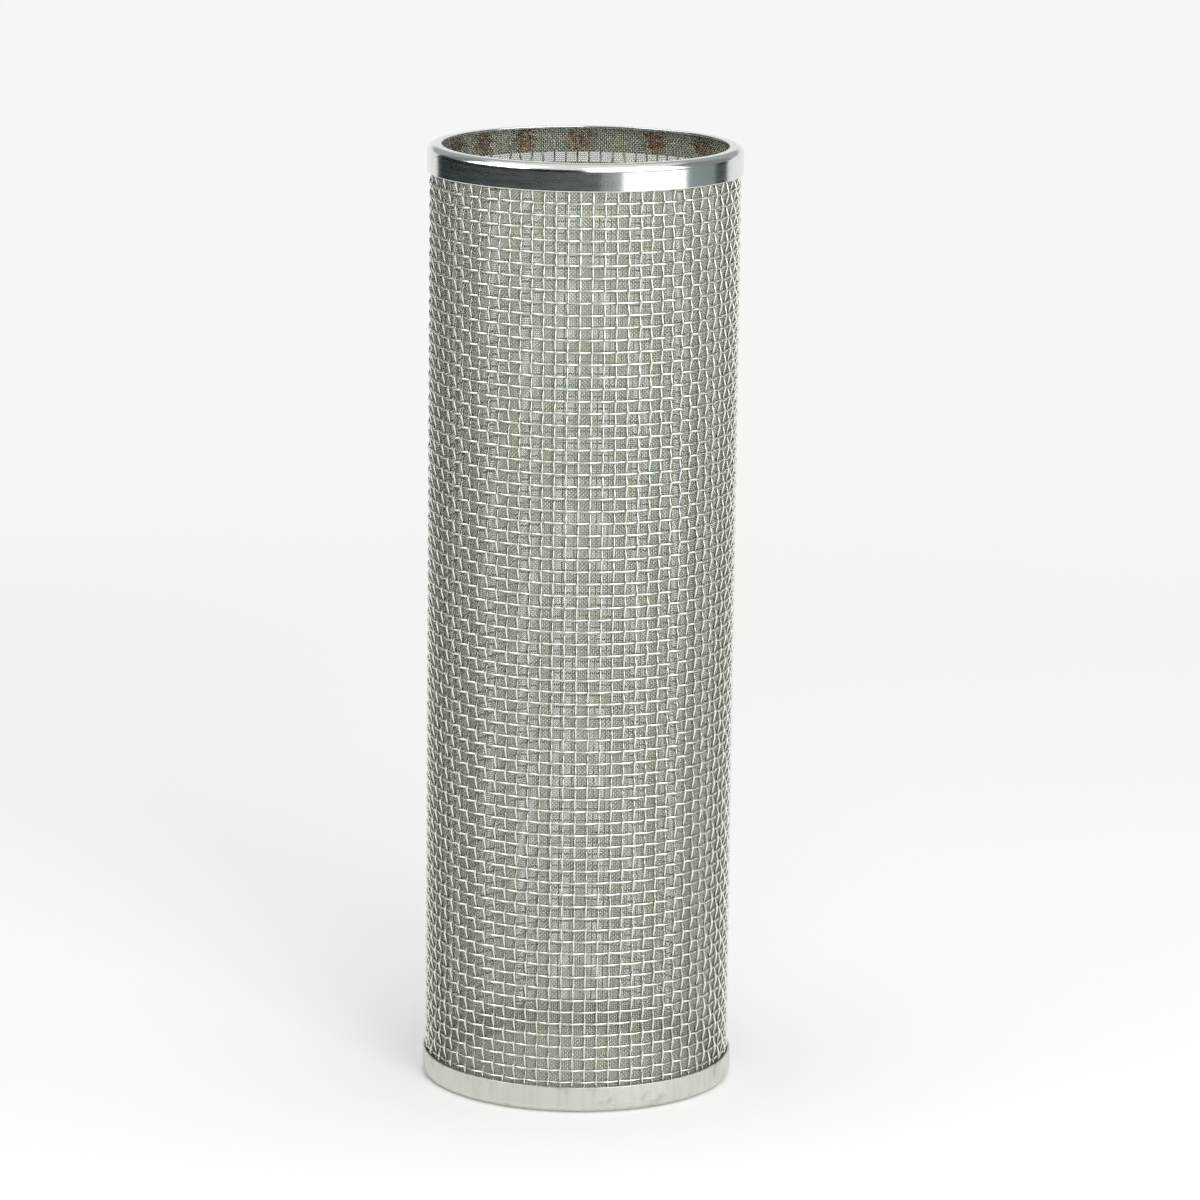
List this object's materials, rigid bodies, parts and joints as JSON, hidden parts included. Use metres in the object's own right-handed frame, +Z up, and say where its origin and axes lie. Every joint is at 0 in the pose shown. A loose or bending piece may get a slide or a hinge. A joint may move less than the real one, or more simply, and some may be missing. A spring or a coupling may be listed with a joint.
{
  "type": "strainer screen",
  "caption": "Upright cylindrical strainer screen of coarse woven wire lined with fine woven wire, held between two pressed steel end rings.",
  "frame": {"origin": "centre of the lower ring's underside, on the face that the screen stands on", "axes": "+Z up along the screen's axis; +X and +Y are alike on this round part"},
  "size_m": [0.0826, 0.0826, 0.25],
  "materials": {
    "ring_steel": "pressed sheet, polished on top and satin below",
    "coarse_wire": "bright drawn wire",
    "fine_wire": "fine drawn wire, dull grey as cloth"
  },
  "bodies": {
    "root": {"top_ring": "ring_steel", "bottom_ring": "ring_steel", "support_mesh": "coarse_wire", "filter_mesh": "fine_wire"}
  },
  "joints": []
}
